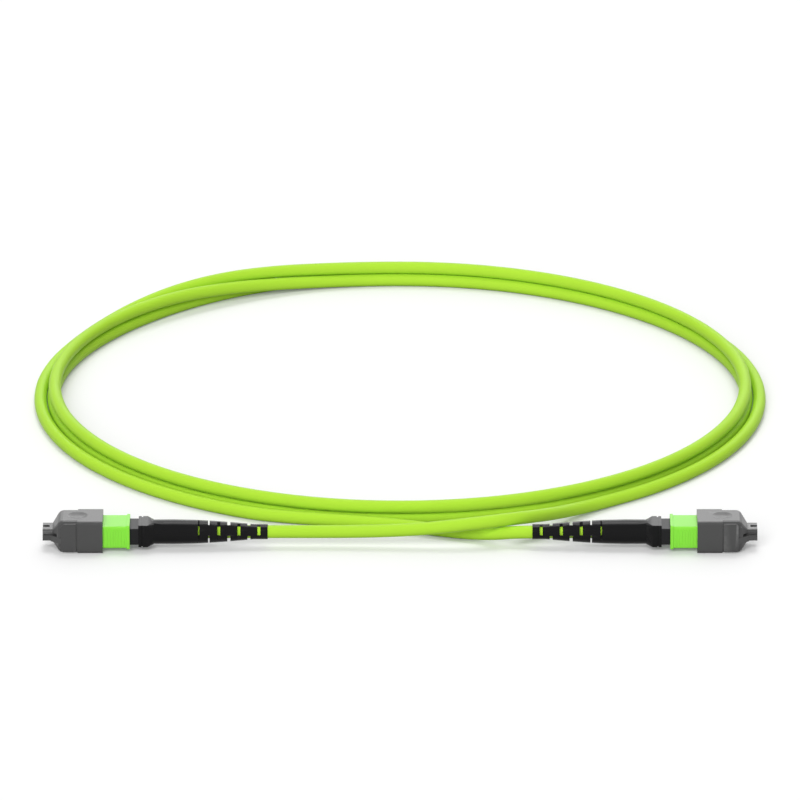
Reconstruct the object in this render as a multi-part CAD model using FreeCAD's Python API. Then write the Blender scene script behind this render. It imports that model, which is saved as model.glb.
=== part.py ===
"""Multi-fibre push-on (MPO) patch cord: two like plugs on one round cable.

Millimetres, +Z up. The plugs lie in line along X and point outwards. The
origin is on the floor, midway between them. One plug is modelled in its own
frame, with u = 0 at the free end of its strain relief, +u out of the nose
and the fibre axis at y = z = 0. It is then placed once on each side.
"""
import FreeCAD, Part
import math
import os

from FreeCAD import Placement, Rotation, Vector

# Cable
CABLE_D = 4.2
CABLE_CLEARANCE = 0.1
CABLE_SIDES = 12
PLUG_GAP = 85.4

# Strain relief boot
BOOT_LENGTH = 37.0
BOOT_END_D = 4.95
BOOT_BARREL_D = 8.0
BOOT_SIDES = 20
COLLAR_W = 9.9
COLLAR_H = 7.4
COLLAR_ROUND = 0.4
COLLAR_END_ROUND = 2.6
COLLAR_CORNER_SIDES = 3
COLLAR_TAPER = 1.7
COLLAR_LENGTH = 3.2
COLLAR_GROOVE = 0.45
COLLAR_GROOVE_SIDE = 0.5
COLLAR_GROOVE_TOP = 0.15
COLLAR_RING = 0.95
SLOT_FIRST_U = 2.8
SLOT_PITCH = 3.23
SLOT_COUNT = 7
SLOT_WIDTH = 1.0
SLOT_WEB = 3.4
SLOT_TURN = 28.0

# The strain relief's outline: along its length, and from its end's size to its barrel's
BOOT_FLARE = (
    (0.0, 0.0), (0.12, 0.0), (0.245, 0.28), (0.345, 0.48), (0.495, 0.74), (0.62, 0.9),
    (0.815, 1.0), (1.0, 0.97),
)

# Crimp sleeve
CRIMP_SETBACK = 13.1
CRIMP_WALL = 0.4
CRIMP_TAIL = 2.4
CRIMP_LENGTH = 10.0
CRIMP_CLEARANCE = 0.1
HIDDEN_SIDES = 16

# Rear body
STEM_D = 5.4
STEM_BORE_D = 3.5
STEM_LENGTH = 10.8
NECK_W = 10.7
NECK_H = 5.5
NECK_LENGTH = 3.8
NECK_ROUND = 0.5
PLUG_IN_LENGTH = 1.6
SNAP_W = 3.0
SNAP_PROUD = 0.35
SNAP_LENGTH = 0.7

# Inner housing
HOUSING_W = 9.7
HOUSING_H = 6.1
HOUSING_LENGTH = 16.8
HOUSING_ROUND = 0.6
CAVITY_W = 7.3
CAVITY_H = 4.7
CAVITY_ROUND = 0.5
KEY_W = 2.8
KEY_H = 0.9
KEY_LENGTH = 4.0
KEY_SETBACK = 0.6
LATCH_RECESS_LENGTH = 4.0
LATCH_RECESS_DEPTH = 0.6
LATCH_RECESS_H = 3.2
LATCH_RECESS_SETBACK = 3.6

# Ferrule and what stands behind it
FERRULE_W = 6.4
FERRULE_H = 2.5
FERRULE_LENGTH = 8.0
FERRULE_PROUD = 0.4
FERRULE_CLEARANCE = 0.1
FLANGE_W = 7.1
FLANGE_H = 3.2
FLANGE_LENGTH = 1.8
PIN_D = 0.7
PIN_PITCH = 4.6
FIBRE_PITCH = 0.25
FIBRE_COUNT = 12
FIBRE_D = 0.125
FIBRE_HOLE_D = 0.16
RIBBON_W = 3.05
RIBBON_H = 0.3
GROMMET_W = 4.0
GROMMET_H = 1.6
GROMMET_IN_FERRULE = 2.2
GROMMET_BEHIND = 0.8
GROMMET_CLEARANCE = 0.05
KEEPER_LENGTH = 1.6
KEEPER_W = 7.0
KEEPER_H = 3.2
FLOAT_TRAVEL = 0.8

# Springs
FERRULE_SPRING_W = 6.5
FERRULE_SPRING_H = 4.2
FERRULE_SPRING_WIRE = 0.5
FERRULE_SPRING_TURNS = 5
SIDE_SPRING_D = 1.3
SIDE_SPRING_WIRE = 0.25
SIDE_SPRING_TURNS = 5
SIDE_SPRING_LENGTH = 4.0
SPRING_CLEARANCE = 0.05

# Sliding coupling
COUPLING_W = 12.0
COUPLING_H = 7.5
COUPLING_LENGTH = 11.9
COUPLING_ROUND = 0.7
COUPLING_CORNER_SIDES = 3
COUPLING_TRAVEL = 2.0
COUPLING_GAP = 2.8
SLIDE_CLEARANCE = 0.15
LIP_LENGTH = 1.0
LIP_PROUD = 0.3
RIB_COUNT = 8
RIB_PITCH = 0.9
RIB_W = 0.45
RIB_PROUD = 0.12
RIB_H = 5.6
LUG_LENGTH = 0.8
LUG_H = 1.3
LUG_CLEARANCE = 0.1
GROOVE_WALL = 0.3

# Dust cap
CAP_W = 13.7
CAP_TOP = 5.6
CAP_BOTTOM = 5.2
CAP_ROUND = 1.0
CAP_CORNER_SIDES = 3
CAP_OVER_COUPLING = 3.2
CAP_REAR_LENGTH = 8.1
CAP_FORE_LENGTH = 4.7
CAP_FORE_STEP = 0.4
CAP_FORE_ROUND = 1.6
CAP_CLEARANCE = 0.2
CAP_END_ROOM = 1.5
PANEL_MARGIN = 0.75
PANEL_GAP = 0.5
PANEL_ROUND = 1.3
SHOULDER_LENGTH = 3.4
SHOULDER_ROUND = 2.0
SHOULDER_SLOPE = 50.0
TAB_W = 7.4
TAB_H = 3.9
TAB_LENGTH = 3.2
TAB_ROUND = 0.6
TAB_TOP_PLATE = 1.0
TAB_RECESS = 0.9
TAB_RECESS_DEPTH = 0.8
TAB_RECESS_RUN = 1.4
TAB_SLOT_W = 1.8
TAB_SLOT_LENGTH = 2.2
TAB_SLOT_DEPTH = 2.6
DIMPLE_D = 6.5
DIMPLE_DEPTH = 0.6
DIMPLE_SIDES = 20
DIMPLE_STEPS = 3

# Coil of cable on the floor: half sizes of the upper turn and its centre
COIL_HALF_X = 115.2
COIL_HALF_Y = 123.1
COIL_CENTRE_Y = 144.2
COIL_INNER_REACH = 3.4
COIL_OUTER_REACH = 7.8
COIL_UPPER_REACH = 2.4
COIL_FLATS = 40

# Stations along the plug
COLLAR_U = BOOT_LENGTH
GROOVE_U = COLLAR_U + COLLAR_LENGTH
RING_U = GROOVE_U + COLLAR_GROOVE
NECK_U = RING_U + COLLAR_RING
HOUSING_U = NECK_U + NECK_LENGTH
COUPLING_U = NECK_U + COUPLING_GAP
COUPLING_FRONT_U = COUPLING_U + COUPLING_LENGTH
NOSE_U = HOUSING_U + HOUSING_LENGTH
FERRULE_FRONT_U = NOSE_U + FERRULE_PROUD
FERRULE_U = FERRULE_FRONT_U - FERRULE_LENGTH
SHOULDER_U = FERRULE_U + FLANGE_LENGTH
KEEPER_U = FERRULE_U - KEEPER_LENGTH
SPRING_SEAT_U = HOUSING_U + PLUG_IN_LENGTH
SPRING_GROOVE_U = HOUSING_U + 1.0
SPRING_GROOVE_END_U = (
    SPRING_GROOVE_U + SIDE_SPRING_LENGTH + 2 * SPRING_CLEARANCE + LUG_LENGTH + LUG_CLEARANCE
)
CAP_U = COUPLING_FRONT_U - CAP_OVER_COUPLING
CAP_FORE_U = CAP_U + CAP_REAR_LENGTH
CAP_SHOULDER_U = CAP_FORE_U + CAP_FORE_LENGTH
TAB_U = CAP_SHOULDER_U + SHOULDER_LENGTH
TIP_U = TAB_U + TAB_LENGTH
AXIS_Z = CAP_BOTTOM
COUPLING_INNER_W = NECK_W + 2 * SLIDE_CLEARANCE
COUPLING_INNER_H = HOUSING_H + 2 * SLIDE_CLEARANCE
BOOT_BORE_D = CABLE_D + 2 * CABLE_CLEARANCE
CRIMP_FRONT_D = STEM_D + 2 * CRIMP_CLEARANCE + 2 * CRIMP_WALL
CRIMP_REAR_D = CABLE_D + CRIMP_CLEARANCE + 2 * CRIMP_WALL
CRIMP_STEP_U = NECK_U - CRIMP_SETBACK
CRIMP_U = CRIMP_STEP_U - CRIMP_TAIL
HIDDEN_FIT = math.cos(math.pi / HIDDEN_SIDES)

# Routes of the loose tails, from inside each boot to the coil
CABLE_END_X = PLUG_GAP / 2 + CRIMP_STEP_U
LEFT_TAIL = (
    (-CABLE_END_X, 0.0, AXIS_Z), (-31.0, 0.0, AXIS_Z), (-12.0, -0.2, 5.3), (6.0, -1.0, 6.3),
    (21.0, -0.9, 7.9), (35.0, 2.0, 8.7), (46.8, 12.6, 6.4), (55.4, 25.6, 3.4), (65.4, 36.9, 2.2),
)
RIGHT_TAIL = (
    (CABLE_END_X, 0.0, AXIS_Z), (38.0, 0.0, AXIS_Z), (30.0, 3.0, 3.3), (20.0, 7.4, 2.2),
    (9.0, 11.4, 2.2), (-2.0, 15.2, 2.2), (-14.0, 18.3, 2.2), (-26.0, 20.5, 2.2), (-38.0, 23.0, 2.2),
)

X_AXIS = Vector(1, 0, 0)
Y_AXIS = Vector(0, 1, 0)
Z_AXIS = Vector(0, 0, 1)
ORIGIN = Vector(0, 0, 0)


def block(u0, u1, y0, y1, z0, z1):
    """A plain box between two corners."""
    return Part.makeBox(u1 - u0, y1 - y0, z1 - z0, Vector(u0, y0, z0))


def centred_block(u0, u1, width, height):
    """A plain box about the fibre axis."""
    return block(u0, u1, -width / 2, width / 2, -height / 2, height / 2)


def rounded_corners(u, width, height, radius, z_mid=0.0, flats=1):
    """Corner points of a rounded rectangle across the plug, each corner cut by a few flats."""
    round_by = min(radius, 0.49 * width, 0.49 * height)
    y, z = width / 2 - round_by, height / 2 - round_by
    points = []
    for my, mz, turn in ((y, z, 0), (-y, z, 90), (-y, -z, 180), (y, -z, 270)):
        for step in range(flats + 1):
            a = math.radians(turn + 90 * step / flats)
            points.append(Vector(u, my + round_by * math.cos(a), z_mid + mz + round_by * math.sin(a)))
    return points


def rounded_outline(u, width, height, radius, z_mid=0.0, flats=0):
    """A rounded rectangle across the plug at station u, its corners arcs or a few flats."""
    points = rounded_corners(u, width, height, radius, z_mid, flats or 2)
    if flats:
        return Part.makePolygon(points + points[:1])
    edges = []
    for i in range(0, len(points), 3):
        edges.append(Part.Arc(*points[i : i + 3]).toShape())
        edges.append(Part.makeLine(points[i + 2], points[(i + 3) % len(points)]))
    return Part.Wire(edges)


def rounded_bar(u0, u1, width, height, radius, z_mid=0.0, flats=0):
    """A bar of rounded rectangular section along the plug."""
    face = Part.Face(rounded_outline(u0, width, height, radius, z_mid, flats))
    return face.extrude(Vector(u1 - u0, 0, 0))


def ring_corners(u, diameter, sides, y=0.0):
    """The corners of a many-sided ring across the plug at station u."""
    corners = []
    for i in range(sides):
        a = 2 * math.pi * (i + 0.5) / sides
        corners.append(Vector(u, y + diameter / 2 * math.cos(a), diameter / 2 * math.sin(a)))
    return corners


def ring_of_points(u, diameter, sides, y=0.0):
    """A closed ring of straight sides across the plug at station u."""
    corners = ring_corners(u, diameter, sides, y)
    return Part.makePolygon(corners + corners[:1])


def fine_rod(u0, u1, diameter, y=0.0, sides=6):
    """A rod too fine, or too well hidden, to need a round section."""
    return Part.Face(ring_of_points(u0, diameter, sides, y)).extrude(Vector(u1 - u0, 0, 0))


def stacked_rings(rings):
    """A solid skinned with flat faces over rings that have equally many corners."""
    faces = [Part.Face(Part.makePolygon(ring + ring[:1])) for ring in (rings[0], rings[-1])]
    for near, far in zip(rings, rings[1:]):
        for i, (a, b) in enumerate(zip(near, far)):
            j = (i + 1) % len(near)
            c, d = far[j], near[j]
            if abs((b - a).cross(c - a).dot(d - a)) < 1e-6:
                faces.append(Part.Face(Part.makePolygon([a, b, c, d, a])))
            else:
                faces += [Part.Face(Part.makePolygon([*three, three[0]])) for three in ([a, b, c], [a, c, d])]
    return Part.Solid(Part.Shell(faces))


def plan_prism(points, z0, z1):
    """A straight prism on an outline seen from above."""
    corners = [Vector(u, y, z0) for u, y in points]
    return Part.Face(Part.makePolygon(corners + corners[:1])).extrude(Vector(0, 0, z1 - z0))


def wire_spring(u0, u1, width, height, wire, turns, y_mid=0.0, steps=8):
    """An oval compression spring of square wire with its first and last turns closed."""
    span = u1 - u0 - wire
    closed = wire * 1.05
    pitch = (span - 2 * closed) / (turns - 2)
    sections = []
    for i in range(turns * steps + 1):
        turn = i / steps
        if turn < 1:
            along = closed * turn
        elif turn > turns - 1:
            along = span - closed * (turns - turn)
        else:
            along = closed + pitch * (turn - 1)
        a = 2 * math.pi * turn
        corners = []
        for du, dr in ((-1, -1), (1, -1), (1, 1), (-1, 1)):
            out = (dr - 1) * wire / 2
            corners.append(
                Vector(
                    u0 + wire / 2 + along + du * wire / 2,
                    y_mid + (width / 2 + out) * math.cos(a),
                    (height / 2 + out) * math.sin(a),
                )
            )
        sections.append(Part.makePolygon(corners + corners[:1]))
    return Part.makeLoft(sections, True, True)


def boot_slots():
    """Each slot of the strain relief, as its two edges along the plug. The last two are fine."""
    slots = []
    for i in range(SLOT_COUNT):
        half = SLOT_WIDTH / 2 if i < SLOT_COUNT - 2 else SLOT_WIDTH / 4
        mid = SLOT_FIRST_U + i * SLOT_PITCH
        slots.append((mid - half, mid + half))
    return slots


def boot():
    """Strain relief: a flared barrel, slotted by turns on crossed sides, behind a boxy
    collar with a groove round it. The slots stand at a slant to the collar."""
    growth = BOOT_BARREL_D - BOOT_END_D
    shape = stacked_rings(
        [
            ring_corners(BOOT_LENGTH * along, BOOT_END_D + growth * share, BOOT_SIDES)
            for along, share in BOOT_FLARE
        ]
    )
    full = (COLLAR_W, COLLAR_H, COLLAR_ROUND)
    groove = (COLLAR_W - 2 * COLLAR_GROOVE_SIDE, COLLAR_H - 2 * COLLAR_GROOVE_TOP, COLLAR_ROUND)
    outlines = (
        (COLLAR_U - 0.3, BOOT_BARREL_D - 0.2, COLLAR_H - 0.1, COLLAR_END_ROUND),
        (COLLAR_U + COLLAR_TAPER, *full),
        (GROOVE_U, *full),
        (GROOVE_U, *groove),
        (RING_U, *groove),
        (RING_U, *full),
        (NECK_U, *full),
    )
    collar = stacked_rings(
        [rounded_corners(*outline, 0.0, COLLAR_CORNER_SIDES) for outline in outlines]
    )
    shape = shape.fuse(collar)
    socket_d = CRIMP_FRONT_D + 2 * CRIMP_CLEARANCE
    shape = shape.cut(fine_rod(-1, CRIMP_U, BOOT_BORE_D / HIDDEN_FIT, sides=HIDDEN_SIDES))
    shape = shape.cut(fine_rod(CRIMP_U, NECK_U + 1, socket_d / HIDDEN_FIT, sides=HIDDEN_SIDES))
    for i, (near, far) in enumerate(boot_slots()):
        for half_turn in (0, 180):
            slot = block(near, far, -COLLAR_W, COLLAR_W, SLOT_WEB / 2, COLLAR_W)
            slot.rotate(ORIGIN, X_AXIS, 90 * (i + 1) - SLOT_TURN + half_turn)
            shape = shape.cut(slot)
    return shape


def crimp_sleeve():
    """Stepped metal sleeve that holds the cable's strength yarn on the rear body's stem."""
    front_in, rear_in = CRIMP_FRONT_D - 2 * CRIMP_WALL, CRIMP_REAR_D - 2 * CRIMP_WALL
    end = CRIMP_STEP_U + CRIMP_LENGTH
    spans = (
        (CRIMP_U, CRIMP_STEP_U, CRIMP_REAR_D, rear_in),
        (CRIMP_STEP_U, CRIMP_STEP_U + CRIMP_WALL, CRIMP_FRONT_D, rear_in),
        (CRIMP_STEP_U + CRIMP_WALL, end, CRIMP_FRONT_D, front_in),
    )
    rings = []
    for u0, u1, outer_d, inner_d in spans:
        outer = fine_rod(u0, u1, outer_d, sides=HIDDEN_SIDES)
        rings.append(outer.cut(fine_rod(u0, u1, inner_d / HIDDEN_FIT, sides=HIDDEN_SIDES)))
    return rings[0].fuse(rings[1:])


def rear_body():
    """Stem, visible neck and the snap-in plug that closes the housing and backs its spring."""
    stem = fine_rod(NECK_U - STEM_LENGTH, NECK_U + 0.5, STEM_D, sides=HIDDEN_SIDES)
    neck = rounded_bar(NECK_U, HOUSING_U, NECK_W, NECK_H, NECK_ROUND)
    plug_w, plug_h = CAVITY_W - 2 * FERRULE_CLEARANCE, CAVITY_H - 2 * FERRULE_CLEARANCE
    plug = rounded_bar(HOUSING_U - 0.5, SPRING_SEAT_U, plug_w, plug_h, CAVITY_ROUND, flats=1)
    snap_u = HOUSING_U + (PLUG_IN_LENGTH - SNAP_LENGTH) / 2
    snap = centred_block(snap_u, snap_u + SNAP_LENGTH, SNAP_W, plug_h + 2 * SNAP_PROUD)
    bore = fine_rod(
        NECK_U - STEM_LENGTH - 1, SPRING_SEAT_U + 1, STEM_BORE_D / HIDDEN_FIT, sides=HIDDEN_SIDES
    )
    return stem.fuse([neck, plug, snap]).cut(bore)


def housing():
    """Inner plug housing with its key, spring grooves, adapter latch recesses and snap windows."""
    shape = rounded_bar(HOUSING_U, NOSE_U, HOUSING_W, HOUSING_H, HOUSING_ROUND)
    key_end = NOSE_U - KEY_SETBACK
    key_h = HOUSING_H / 2 + KEY_H
    shape = shape.fuse(block(key_end - KEY_LENGTH, key_end, -KEY_W / 2, KEY_W / 2, 0, key_h))
    cavity = rounded_bar(HOUSING_U - 1, SHOULDER_U, CAVITY_W, CAVITY_H, CAVITY_ROUND, flats=1)
    mouth = centred_block(
        SHOULDER_U - 1,
        NOSE_U + 1,
        FERRULE_W + 2 * FERRULE_CLEARANCE,
        FERRULE_H + 2 * FERRULE_CLEARANCE,
    )
    cuts = [cavity, mouth]
    window = SNAP_LENGTH + 2 * SPRING_CLEARANCE
    window_u = HOUSING_U + (PLUG_IN_LENGTH - window) / 2
    cuts.append(
        centred_block(window_u, window_u + window, SNAP_W + 2 * SPRING_CLEARANCE, HOUSING_H + 1)
    )
    floor_y = CAVITY_W / 2 + GROOVE_WALL
    recess_end = NOSE_U - LATCH_RECESS_SETBACK
    for side in (-1, 1):
        low, high = sorted((side * floor_y, side * HOUSING_W))
        half = SIDE_SPRING_D / 2 + SPRING_CLEARANCE
        cuts.append(block(SPRING_GROOVE_U, SPRING_GROOVE_END_U, low, high, -half, half))
        inner = side * (HOUSING_W / 2 - LATCH_RECESS_DEPTH)
        low, high = sorted((inner, side * HOUSING_W))
        half = LATCH_RECESS_H / 2
        cuts.append(block(recess_end - LATCH_RECESS_LENGTH, recess_end, low, high, -half, half))
    for cut in cuts:
        shape = shape.cut(cut)
    return shape


def fibre_rows():
    """The sideways places of the fibres."""
    first = -(FIBRE_COUNT - 1) * FIBRE_PITCH / 2
    return [first + i * FIBRE_PITCH for i in range(FIBRE_COUNT)]


def ferrule():
    """Flanged ferrule with two guide-pin holes and one row of fibre holes."""
    body = rounded_bar(FERRULE_U, FERRULE_FRONT_U, FERRULE_W, FERRULE_H, 0.2, flats=1)
    flange = rounded_bar(FERRULE_U, SHOULDER_U, FLANGE_W, FLANGE_H, 0.3, flats=1)
    shape = body.fuse(flange)
    opening = centred_block(
        FERRULE_U - 1,
        FERRULE_U + GROMMET_IN_FERRULE + GROMMET_CLEARANCE,
        GROMMET_W + 2 * GROMMET_CLEARANCE,
        GROMMET_H + 2 * GROMMET_CLEARANCE,
    )
    holes = [opening]
    for side in (-1, 1):
        y = side * PIN_PITCH / 2
        holes.append(fine_rod(FERRULE_U - 1, FERRULE_FRONT_U + 1, PIN_D, y, sides=16))
    for y in fibre_rows():
        holes.append(fine_rod(FERRULE_U, FERRULE_FRONT_U + 1, FIBRE_HOLE_D, y))
    return shape.cut(Part.makeCompound(holes))


def pin_keeper():
    """Plate behind the ferrule that the spring pushes on."""
    shape = rounded_bar(KEEPER_U, FERRULE_U, KEEPER_W, KEEPER_H, 0.3, flats=1)
    window = centred_block(
        KEEPER_U - 1,
        FERRULE_U + 1,
        GROMMET_W + 2 * GROMMET_CLEARANCE,
        GROMMET_H + 2 * GROMMET_CLEARANCE,
    )
    shape = shape.cut(window)
    for side in (-1, 1):
        y = side * PIN_PITCH / 2
        shape = shape.cut(fine_rod(KEEPER_U - 1, FERRULE_U + 1, PIN_D, y, sides=16))
    return shape


def ferrule_grommet():
    """Soft sleeve that guides the ribbon into the ferrule."""
    shape = rounded_bar(
        KEEPER_U - GROMMET_BEHIND,
        FERRULE_U + GROMMET_IN_FERRULE,
        GROMMET_W,
        GROMMET_H,
        0.4,
        flats=1,
    )
    slit = centred_block(
        KEEPER_U - GROMMET_BEHIND - 1,
        NOSE_U,
        RIBBON_W + 2 * GROMMET_CLEARANCE,
        RIBBON_H + 2 * GROMMET_CLEARANCE,
    )
    return shape.cut(slit)


def fibre_ribbon():
    """Flat ribbon from the cable's end to the ferrule, bared to its fibres at the front."""
    start = CRIMP_STEP_U + FLOAT_TRAVEL + 0.3
    split = FERRULE_U + GROMMET_IN_FERRULE
    shape = centred_block(start, split, RIBBON_W, RIBBON_H)
    fibres = [fine_rod(split - 0.2, FERRULE_FRONT_U, FIBRE_D, y) for y in fibre_rows()]
    return shape.fuse(fibres)


def ferrule_spring():
    """Oval spring between the rear body and the pin keeper."""
    return wire_spring(
        SPRING_SEAT_U + SPRING_CLEARANCE,
        KEEPER_U - SPRING_CLEARANCE,
        FERRULE_SPRING_W,
        FERRULE_SPRING_H,
        FERRULE_SPRING_WIRE,
        FERRULE_SPRING_TURNS,
    )


def coupling_springs():
    """Pair of small springs in the housing's side grooves."""
    start = SPRING_GROOVE_U + SPRING_CLEARANCE
    y_mid = CAVITY_W / 2 + GROOVE_WALL + SPRING_CLEARANCE + SIDE_SPRING_D / 2
    pair = [
        wire_spring(
            start,
            start + SIDE_SPRING_LENGTH,
            SIDE_SPRING_D,
            SIDE_SPRING_D,
            SIDE_SPRING_WIRE,
            SIDE_SPRING_TURNS,
            side * y_mid,
            steps=6,
        )
        for side in (-1, 1)
    ]
    return Part.makeCompound(pair)


def coupling():
    """Sliding sleeve with a grip lip, side ribs and inner lugs that push its springs."""
    shape, lip = [
        rounded_bar(
            COUPLING_U,
            COUPLING_U + length,
            COUPLING_W + 2 * proud,
            COUPLING_H + 2 * proud,
            COUPLING_ROUND,
            flats=COUPLING_CORNER_SIDES,
        )
        for length, proud in ((COUPLING_LENGTH, 0), (LIP_LENGTH, LIP_PROUD))
    ]
    ribs = []
    for i in range(RIB_COUNT):
        u = CAP_U - RIB_W - (i + 0.3) * RIB_PITCH
        ribs.append(centred_block(u, u + RIB_W, COUPLING_W + 2 * RIB_PROUD, RIB_H))
    shape = shape.fuse([lip] + ribs)
    tunnel = rounded_bar(
        COUPLING_U - 1, COUPLING_FRONT_U + 1, COUPLING_INNER_W, COUPLING_INNER_H, 0.3, flats=1
    )
    shape = shape.cut(tunnel)
    lug_u = SPRING_GROOVE_U + SIDE_SPRING_LENGTH + 2 * SPRING_CLEARANCE
    inner_y = CAVITY_W / 2 + GROOVE_WALL + LUG_CLEARANCE
    for side in (-1, 1):
        low, high = sorted((side * inner_y, side * (COUPLING_INNER_W / 2 + 0.2)))
        lug = block(lug_u, lug_u + LUG_LENGTH, low, high, -LUG_H / 2, LUG_H / 2)
        shape = shape.fuse(lug)
    return shape


def cap_shoulder(z_mid, fore_w, cap_h):
    """The flared part between the cap's box and its pull tab."""
    sizes = [(CAP_SHOULDER_U, fore_w, cap_h, CAP_FORE_ROUND, z_mid)]
    drop_total = (cap_h - TAB_H) / 2
    for part_way in (0.5, 1.0):
        a = math.radians(SHOULDER_SLOPE * part_way)
        drop = SHOULDER_ROUND * (1 - math.cos(a))
        share = drop / drop_total
        sizes.append(
            (
                CAP_SHOULDER_U + SHOULDER_ROUND * math.sin(a),
                fore_w - share * (fore_w - TAB_W),
                cap_h - 2 * drop,
                CAP_FORE_ROUND,
                z_mid * (1 - share),
            )
        )
    sizes.append((TAB_U, TAB_W, TAB_H, TAB_ROUND, 0.0))
    return stacked_rings([rounded_corners(*size, CAP_CORNER_SIDES) for size in sizes])


def side_panel(side, z_mid, cap_h):
    """Raised flat panel on the cap's side, rounded at its front corners."""
    half = cap_h / 2 - PANEL_MARGIN
    u0, u1 = CAP_FORE_U + PANEL_GAP, CAP_SHOULDER_U + 0.6
    r = min(PANEL_ROUND, half)
    q = r * (1 - math.sqrt(0.5))
    y = side * (CAP_W / 2 - 2 * CAP_FORE_STEP)
    low, high = z_mid - half, z_mid + half
    edges = [
        Part.makeLine(Vector(u0, y, low), Vector(u1 - r, y, low)),
        Part.Arc(
            Vector(u1 - r, y, low), Vector(u1 - q, y, low + q), Vector(u1, y, low + r)
        ).toShape(),
        Part.makeLine(Vector(u1, y, low + r), Vector(u1, y, high - r)),
        Part.Arc(
            Vector(u1, y, high - r), Vector(u1 - q, y, high - q), Vector(u1 - r, y, high)
        ).toShape(),
        Part.makeLine(Vector(u1 - r, y, high), Vector(u0, y, high)),
        Part.makeLine(Vector(u0, y, high), Vector(u0, y, low)),
    ]
    return Part.Face(Part.Wire(edges)).extrude(Vector(0, side * 2 * CAP_FORE_STEP, 0))


def pull_tab():
    """Flat tab with a top plate, recessed sides, a wider lower block and a slot in its end."""
    start = TAB_U - 0.4
    shape = rounded_bar(start, TIP_U, TAB_W, TAB_H, TAB_ROUND, 0.0, CAP_CORNER_SIDES)
    recess_top = TAB_H / 2 - TAB_TOP_PLATE
    for side in (-1, 1):
        plate = sorted((side * (TAB_W / 2 - TAB_RECESS_DEPTH / 2), side * TAB_W))
        shape = shape.cut(block(start - 1, TIP_U + 1, *plate, recess_top, TAB_H))
    slot = block(
        TIP_U - TAB_SLOT_LENGTH,
        TIP_U + 1,
        -TAB_SLOT_W / 2,
        TAB_SLOT_W / 2,
        TAB_H / 2 - TAB_SLOT_DEPTH,
        TAB_H,
    )
    return shape.cut(slot)


def tab_webs(z_mid, cap_h):
    """Tapered ribs that run from the side panels into the tab's lower block."""
    top = TAB_H / 2 - TAB_TOP_PLATE - TAB_RECESS
    webs = []
    for side in (-1, 1):
        outline = [
            (CAP_SHOULDER_U - 0.5, side * (CAP_W / 2 - 2 * CAP_FORE_STEP)),
            (CAP_SHOULDER_U - 0.5, side * CAP_W / 2),
            (CAP_SHOULDER_U + 0.6, side * CAP_W / 2),
            (TAB_U + 0.6, side * TAB_W / 2),
            (TAB_U + 0.6, side * TAB_W / 4),
        ]
        webs.append(plan_prism(outline, -TAB_H / 2, top))
    return webs


def thumb_dimple():
    """The dished space for a fingertip, standing on end over the cap's top."""
    rings = []
    for k in range(1, DIMPLE_STEPS + 2):
        share = min(k, DIMPLE_STEPS) / DIMPLE_STEPS
        z = CAP_TOP - DIMPLE_DEPTH * (1 - share**2) + (1 if k > DIMPLE_STEPS else 0)
        ring = []
        for i in range(DIMPLE_SIDES):
            a = 2 * math.pi * (i + 0.5) / DIMPLE_SIDES
            across = DIMPLE_D / 2 * share
            ring.append(Vector(CAP_FORE_U + across * math.cos(a), across * math.sin(a), z))
        rings.append(ring)
    return stacked_rings(rings)


def dust_cap():
    """Pull-off cap: a box with a thumb dimple and side panels, flared down to a pull tab."""
    cap_h = CAP_TOP + CAP_BOTTOM
    z_mid = (CAP_TOP - CAP_BOTTOM) / 2
    fore_w = CAP_W - 2 * CAP_FORE_STEP
    shape = rounded_bar(CAP_U, CAP_FORE_U, CAP_W, cap_h, CAP_ROUND, z_mid, CAP_CORNER_SIDES)
    fore = rounded_bar(CAP_FORE_U, CAP_SHOULDER_U, fore_w, cap_h, CAP_FORE_ROUND, z_mid, CAP_CORNER_SIDES)
    panels = [side_panel(side, z_mid, cap_h) for side in (-1, 1)]
    webs = tab_webs(z_mid, cap_h)
    shape = shape.fuse([fore, cap_shoulder(z_mid, fore_w, cap_h), pull_tab()] + panels + webs)
    recess_top = TAB_H / 2 - TAB_TOP_PLATE
    for side in (-1, 1):
        low, high = sorted((side * (TAB_W / 2 - TAB_RECESS_DEPTH), side * CAP_W))
        groove = block(
            TAB_U - TAB_RECESS_RUN, TIP_U + 1, low, high, recess_top - TAB_RECESS, recess_top
        )
        shape = shape.cut(groove)
    dimple = thumb_dimple()
    pocket = rounded_bar(
        CAP_U - 1,
        COUPLING_FRONT_U + CAP_CLEARANCE,
        COUPLING_W + 2 * CAP_CLEARANCE,
        COUPLING_H + 2 * CAP_CLEARANCE,
        COUPLING_ROUND,
        flats=2,
    )
    nose_room = centred_block(
        CAP_U, NOSE_U + CAP_END_ROOM, HOUSING_W + 2 * CAP_CLEARANCE, HOUSING_H + 2 * CAP_CLEARANCE
    )
    key_half = KEY_W / 2 + CAP_CLEARANCE
    key_room = block(
        CAP_U,
        NOSE_U + CAP_END_ROOM,
        -key_half,
        key_half,
        0,
        HOUSING_H / 2 + KEY_H + CAP_CLEARANCE,
    )
    return shape.cut(dimple).cut(pocket.fuse([nose_room, key_room]))


def tube_route(points):
    """Straight runs joined by tangent arcs, each as large as its two runs allow."""
    points = [Vector(*p) for p in points]
    edges, radii, start = [], [], points[0]
    for before, corner, after in zip(points, points[1:], points[2:]):
        back, ahead = before - corner, after - corner
        turn = math.pi - back.getAngle(ahead)
        cut = 0.45 * min(back.Length, ahead.Length)
        radius = cut / math.tan(turn / 2)
        radii.append(round(radius, 1))
        back.normalize()
        ahead.normalize()
        first, last = corner + back * cut, corner + ahead * cut
        middle = corner + (back + ahead).normalize() * radius * (1 / math.cos(turn / 2) - 1)
        edges.append(Part.makeLine(start, first))
        edges.append(Part.Arc(first, middle, last).toShape())
        start = last
    edges.append(Part.makeLine(start, points[-1]))
    return Part.Wire(edges), radii


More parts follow.
